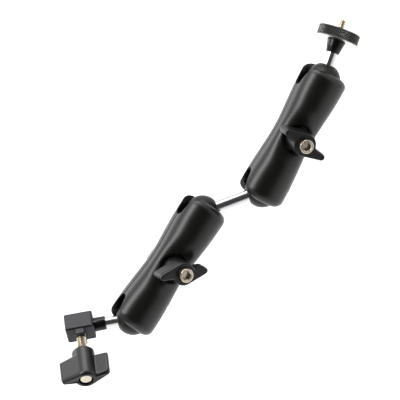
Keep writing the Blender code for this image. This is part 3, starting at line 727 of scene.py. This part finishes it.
def dish_tool(side):
    """The round dish at the waist: flat floor, upright wall and a lip rounded over along the saddle."""
    columns = 120
    lip_steps = 12
    foot = 0.5 * MM
    angles = [math.tau * i / columns for i in range(columns)]
    circle = [(math.cos(a), math.sin(a)) for a in angles]
    outer = DISH_RADIUS + DISH_LIP
    rings = [[(outer * c, outer * s, side * 2 * END_HALF_DEPTH) for c, s in circle]]
    for i in range(lip_steps + 1):
        a = math.radians(90.0 * i / lip_steps)
        r = outer - DISH_LIP * math.sin(a)
        drop = DISH_LIP_DROP * (1.0 - math.cos(a)) - DISH_LIP_LEAD
        rings.append([(r * c, r * s, side * (surface_height(r * c, r * s) - drop)) for c, s in circle])
    for x, y in arc_points(-1.0, 1.0, 1.0, 0.0, -90.0, 4):
        r = DISH_RADIUS + foot * x
        rings.append([(r * c, r * s, side * (DISH_FLOOR + foot * y)) for c, s in circle])
    return loft("dish", rings)


def make_shell(name, side):
    obj = loft(name, outer_rings(side))
    tools = []
    ball_x = BALL_SPACING / 2
    for sign in (-1, 1):
        tools.append(hollow("pocket", side, sign, POCKET_START, POCKET_END, WALL, 2 * END_HALF_DEPTH))
        tools.append(hollow("relief", side, sign, POCKET_END - OVERLAP, ball_x + RELIEF_PAST_BALL,
                            RELIEF_WALL, RELIEF_HALF))
        tools.append(socket_tool(sign))
        tools.append(slot_tool(sign, -1))
        tools.append(slot_tool(sign, 1))
    tools.append(cylinder("bore", BOLT_BORE_RADIUS, -2 * END_HALF_DEPTH, 2 * END_HALF_DEPTH))
    tools.append(cylinder("well", SPRING_POCKET_RADIUS, -SPRING_POCKET_DEPTH, SPRING_POCKET_DEPTH))
    tools.append(dish_tool(side))
    for tool in tools:
        join(obj, tool, "DIFFERENCE")
    return settle(obj, tools)


def make_bolt(name):
    head_low = BOLT_HEAD_FRONT - BOLT_HEAD_HEIGHT
    tail = -(DISH_FLOOR + FIT_GAP + NUT_HEIGHT - BOLT_SHORT_OF_NUT)
    edge = 0.9 * MM
    profile = [(0.0, BOLT_HEAD_FRONT), (BOLT_HEAD_RADIUS - edge, BOLT_HEAD_FRONT)]
    profile += arc_points(BOLT_HEAD_RADIUS - edge, BOLT_HEAD_FRONT - edge, edge, 90.0, 0.0, 6)[1:]
    profile += [(BOLT_HEAD_RADIUS, head_low), (SCREW_RADIUS, head_low), (SCREW_RADIUS, tail + edge),
                (SCREW_RADIUS - edge, tail), (0.0, tail)]
    obj = turned(name, profile)
    corner = BOLT_HEX / math.sqrt(3.0)
    outline = arc_points(0.0, 0.0, corner, 0.0, 300.0, 5)
    hexagon = prism("hexagon", outline, BOLT_HEAD_FRONT - BOLT_HEX_DEPTH, BOLT_HEAD_FRONT + MM)
    lead_top = BOLT_HEAD_FRONT + MM
    lead_foot = BOLT_HEAD_FRONT - 1.1 * MM
    lead = turned("lead", [(0.0, lead_top), (corner + 1.5 * MM, lead_top),
                           (corner - 0.6 * MM, lead_foot), (0.0, lead_foot)], 64)
    join(obj, hexagon, "DIFFERENCE")
    join(obj, lead, "DIFFERENCE")
    return settle(obj, (hexagon, lead))


def wing_outline(inset):
    """Two wings about a round hub: one flank runs onto the hub, the other meets it in a fillet."""
    tip_x = WING_HALF_SPAN - WING_TIP_RADIUS
    tip = WING_TIP_RADIUS - inset
    hub = WING_HUB_RADIUS - inset
    fillet = WING_FILLET + inset
    lean = math.degrees(math.acos((hub - tip) / tip_x))
    fillet_y = tip + fillet
    fillet_x = math.sqrt((hub + fillet) ** 2 - fillet_y ** 2)
    notch = math.degrees(math.atan2(fillet_y, fillet_x))
    half = arc_points(tip_x, 0.0, tip, -lean, 90.0, 16)
    half += arc_points(fillet_x, fillet_y, fillet, 270.0, 180.0 + notch, 8)
    half += arc_points(0.0, 0.0, hub, notch, 180.0 - lean, 16)[1:]
    return half + [(-x, -y) for x, y in half]


def make_wing_knob(name):
    ledge_z = WING_FRONT - WING_LEDGE_DEPTH
    obj = prism(name, wing_outline(0.0), WING_FRONT - WING_DEPTH, ledge_z)
    bevel(obj, 0.6 * MM, 2, angle=50.0)
    top = prism("top", wing_outline(WING_LEDGE), ledge_z - MM, WING_FRONT)
    bevel(top, 1.2 * MM, 3, angle=50.0)
    join(obj, top, "UNION")
    foot = DISH_FLOOR + WASHER_HEIGHT + 2 * FIT_GAP
    hub = cylinder("hub", WING_HUB_RADIUS - WING_HUB_STEP, foot, WING_FRONT - WING_DEPTH + OVERLAP)
    join(obj, hub, "UNION")
    head_low = BOLT_HEAD_FRONT - BOLT_HEAD_HEIGHT - FIT_GAP
    clear = BOLT_HEAD_RADIUS + FIT_GAP
    profile = [(0.0, WING_FRONT + OVERLAP), (clear, WING_FRONT + OVERLAP), (clear, head_low),
               (BOLT_BORE_RADIUS, head_low), (BOLT_BORE_RADIUS, foot - OVERLAP), (0.0, foot - OVERLAP)]
    hole = turned("hole", profile)
    join(obj, hole, "DIFFERENCE")
    remesh(obj, MOULD_VOXEL, 3)
    return settle(obj, (top, hub, hole))


def make_arms():
    front = make_shell("front_shell", 1)
    rear = make_shell("rear_shell", -1)
    bolt = make_bolt("bolt")
    knob = make_wing_knob("knob")
    for arm, place, wing_turn in (("lower", LOWER_ARM @ ARM_MIDDLE, LOWER_WING_TURN),
                                  ("upper", UPPER_ARM @ ARM_MIDDLE, UPPER_WING_TURN)):
        knob_place = place @ turn("Z", wing_turn)
        dress(copy_of(front, arm + "_front_shell_cast"), place,
              arm + "_front", [arm + "_front_shell"], BLACK_COAT)
        dress(copy_of(rear, arm + "_rear_shell_cast"), place,
              arm + "_arm", [arm + "_rear_shell"], BLACK_COAT)
        dress(copy_of(bolt, arm + "_socket_screw"), knob_place,
              arm + "_knob", [arm + "_clamp_bolt"], NICKEL)
        dress(copy_of(knob, arm + "_wing_knob_moulding"), knob_place,
              arm + "_knob", [arm + "_wing_knob"], KNOB_FINISH, MOULDED_SHARP)
    for source in (front, rear, bolt, knob):
        bpy.data.objects.remove(source, do_unlink=True)


# Link and top stud

def rod_start():
    return math.sqrt(BALL_RADIUS ** 2 - BALL_FLAT_RADIUS ** 2) - BALL_BORE_DEPTH + FIT_GAP


def make_link_rod():
    start = rod_start()
    rod = cylinder("link_rod_chromed", LINK_RADIUS, start, LINK_LENGTH - start, edge=ROD_EDGE)
    dress(rod, LINK @ Z_TO_X, "link", ["link_rod"], CHROME)


def knurl_radius(low, high):
    """Diamond knurl of two crossing sets of ridges, coarser and deeper than the real one."""
    lead = 2 * (high - low) / (math.tau * RING_RADIUS) * KNURL_COUNT

    def at(angle, z):
        share = (z - low) / (high - low)
        first = (angle / math.tau * KNURL_COUNT + share * lead / 2) % 1.0
        second = (angle / math.tau * KNURL_COUNT - share * lead / 2) % 1.0
        ridge = min(abs(2.0 * first - 1.0), abs(2.0 * second - 1.0))
        fade = min(max((min(z - low, high - z) - KNURL_PLAIN_EDGE) / KNURL_FADE, 0.0), 1.0)
        return RING_RADIUS - KNURL_DEPTH * (1.0 - ridge) * fade
    return at


def make_top_stud():
    place = TOP_BALL @ Z_TO_X
    rod_end = TOP_HUB_START + TOP_ROD_IN_HUB
    rod = cylinder("top_rod_chromed", TOP_ROD_RADIUS, rod_start(), rod_end, edge=0.4 * MM)
    dress(rod, place, "top_stud", ["top_rod"], CHROME)
    edge = 0.6 * MM
    bore = TOP_ROD_RADIUS + FIT_GAP
    thread_bore = THREAD_RADIUS + FIT_GAP
    step = rod_end + FIT_GAP
    profile = [(thread_bore, TOP_HUB_END), (TOP_HUB_RADIUS_END - edge, TOP_HUB_END)]
    profile += arc_points(TOP_HUB_RADIUS_END - edge, TOP_HUB_END - edge, edge, 90.0, 10.0, 5)[1:]
    foot = 0.3 * MM
    profile += [(TOP_HUB_RADIUS_START, TOP_HUB_START + foot),
                (TOP_HUB_RADIUS_START - foot, TOP_HUB_START),
                (bore, TOP_HUB_START), (bore, step), (thread_bore, step)]
    dress(turned("top_hub_turned", profile), place, "top_stud", ["top_hub"], HUB_FINISH)
    ring_low = TOP_HUB_END + FIT_GAP
    ring_high = ring_low + RING_HEIGHT
    ring = round_grid("lock_ring_knurled", knurl_radius(ring_low, ring_high), ring_low, ring_high,
                      44, KNURL_COUNT * 8, RING_BEVEL)
    hole = cylinder("hole", thread_bore, ring_low - MM, ring_high + MM)
    join(ring, hole, "DIFFERENCE")
    settle(ring, (hole,))
    dress(ring, place, "ring", ["lock_ring"], RING_FINISH, THREAD_SHARP)
    # The flat faces get the nearly white metal: a painted reflection
    ring.data.materials.append(PAINTED_REFLECTION_FACE)
    along = (place.to_3x3() @ Vector((0.0, 0.0, 1.0))).normalized()
    for face in ring.data.polygons:
        if abs(face.normal.dot(along)) > FACE_MINIMUM_DOT:
            face.material_index = 1
    high = ring_high + THREAD_SHOWING
    low = step + FIT_GAP
    rows = round((high - low) / (THREAD_PITCH / 10))
    radius_at = thread_radius(THREAD_RADIUS, THREAD_PITCH)
    thread = round_grid("top_thread_cut", radius_at, low, high, rows, 48, 0.6 * MM)
    dress(thread, place, "top_stud", ["top_thread"], NICKEL, THREAD_SHARP)


make_block()
make_base_rod()
make_clamp_knob()
make_clamp_screw()
make_ball("base_ball_turned", BASE_BALL @ turn("Y", -90.0), "base_joint",
          "base_ball", STUD_RADIUS + FIT_GAP)
make_arms()
make_ball("link_ball_lower_turned", LINK_BALL @ Z_TO_X, "link_joint",
          "link_ball_lower", LINK_RADIUS + FIT_GAP)
make_link_rod()
make_ball("link_ball_upper_turned", LINK @ shift(LINK_LENGTH, 0.0, 0.0) @ turn("Y", -90.0), "link",
          "link_ball_upper", LINK_RADIUS + FIT_GAP)
make_ball("top_ball_turned", TOP_BALL @ Z_TO_X, "top_joint",
          "top_ball", TOP_ROD_RADIUS + FIT_GAP)
make_top_stud()

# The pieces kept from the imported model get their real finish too
for arm in ("lower", "upper"):
    for kept in ("washer", "rear_nut", "spring"):
        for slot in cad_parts[arm + "_" + kept].material_slots:
            slot.material = ZINC


# Studio

CAMERA_RIGHT = Vector((0.9814, -0.0984, -0.1647))
CAMERA_UP = Vector((0.1786, 0.7819, 0.5972))
CAMERA_BACK = Vector((0.07, -0.6156, 0.785))
PHOTO_CENTRE = CAMERA_RIGHT * 0.1191 + CAMERA_UP * 0.1344
CAMERA_DISTANCE = 11.11

# The photo looks like a parallel view, so the lens is very long
CAMERA_LENS = 1000.0
SENSOR_WIDTH = 36.0

# Direction in which both arms run in the picture, right and up
ARM_SLANT = (0.55, 0.835)

# Soft boxes: offset right, up and back from the middle of the arm in metres, size, watts
SOFT_BOXES = (
    ("upper_left_box", (-1.01, 0.67, 0.88), (0.5, 1.2), 14.0),
    ("overhead_box", (-0.18, 1.44, 0.36), (0.5, 1.0), 8.0),
    ("rim_box", (-1.41, 0.93, -0.61), (0.8, 1.2), 9.0),
)

# The tent's light falls off round its open front, given as cosines from the direction of that front
OPEN_FRONT_EDGE = 0.40
OPEN_FRONT_DARK = 0.80
OPEN_FRONT_LIGHT = 0.06

FLOOR_HALF = 6.0
FLOOR_PLACE = (0.15, 0.1, -0.35)


def camera_basis():
    back = CAMERA_BACK.normalized()
    right = CAMERA_UP.cross(back).normalized()
    up = back.cross(right)
    return right, up, back


def set_camera():
    right, up, back = camera_basis()
    data = bpy.data.cameras.new("photo_camera")
    data.lens = CAMERA_LENS
    data.sensor_width = SENSOR_WIDTH
    data.clip_start = 0.1
    data.clip_end = 60.0
    camera = bpy.data.objects.new("photo_camera", data)
    bpy.context.scene.collection.objects.link(camera)
    place = Matrix((right, up, back)).transposed().to_4x4()
    place.translation = PHOTO_CENTRE + back * CAMERA_DISTANCE
    camera.matrix_world = place
    bpy.context.scene.camera = camera


def soft_light(name, offset, size, power):
    """A soft box aimed at the middle of the arm, its length along the arms."""
    right, up, back = camera_basis()
    data = bpy.data.lights.new(name, "AREA")
    data.shape = "RECTANGLE"
    data.size, data.size_y = size
    data.energy = power
    light = bpy.data.objects.new(name, data)
    bpy.context.scene.collection.objects.link(light)
    place = PHOTO_CENTRE + right * offset[0] + up * offset[1] + back * offset[2]
    out = (place - PHOTO_CENTRE).normalized()
    along = right * ARM_SLANT[0] + up * ARM_SLANT[1]
    across = along.cross(out).normalized()
    turned_to = Matrix((across, out.cross(across), out)).transposed().to_4x4()
    turned_to.translation = place
    light.matrix_world = turned_to


def set_studio():
    """White surroundings with one dark side, as in a light tent with an open front."""
    _, _, back = camera_basis()
    world = bpy.data.worlds.new("light_tent")
    bpy.context.scene.world = world
    world.use_nodes = True
    tree = world.node_tree
    tree.nodes.clear()
    place = add_node(tree, "ShaderNodeTexCoord", {}, {})
    facing = add_node(tree, "ShaderNodeVectorMath", {"operation": "DOT_PRODUCT"}, {})
    facing.inputs[1].default_value = back
    tree.links.new(place.outputs["Generated"], facing.inputs[0])
    shade = add_node(tree, "ShaderNodeMapRange",
                     {"From Min": OPEN_FRONT_EDGE, "From Max": OPEN_FRONT_DARK,
                      "To Min": 1.0, "To Max": OPEN_FRONT_LIGHT},
                     {"Value": facing.outputs["Value"]})
    sky = add_node(tree, "ShaderNodeBackground", {"Color": (1.0, 1.0, 1.0, 1.0)},
                   {"Strength": shade.outputs["Result"]})
    add_node(tree, "ShaderNodeOutputWorld", {}, {"Surface": sky.outputs["Background"]})
    for name, offset, size, power in SOFT_BOXES:
        soft_light(name, offset, size, power)


def set_floor():
    """Plain white paper, well below the arm."""
    bm = bmesh.new()
    half = FLOOR_HALF
    corners = [(-half, -half), (half, -half), (half, half), (-half, half)]
    bm.faces.new([bm.verts.new((x, y, 0.0)) for x, y in corners])
    floor = mesh_object("studio_floor", bm)
    floor.location = FLOOR_PLACE
    mat, tree, out = new_material("white_paper_floor")
    shader = add_node(tree, "ShaderNodeBsdfPrincipled",
                      {"Base Color": hex_colour("F4F4F4"), "Roughness": 0.8,
                       "Emission Color": (1.0, 1.0, 1.0, 1.0), "Emission Strength": 0.35}, {})
    tree.links.new(shader.outputs["BSDF"], out.inputs["Surface"])
    floor.data.materials.append(mat)


set_camera()
set_studio()
set_floor()
bpy.context.scene.view_settings.view_transform = "Standard"
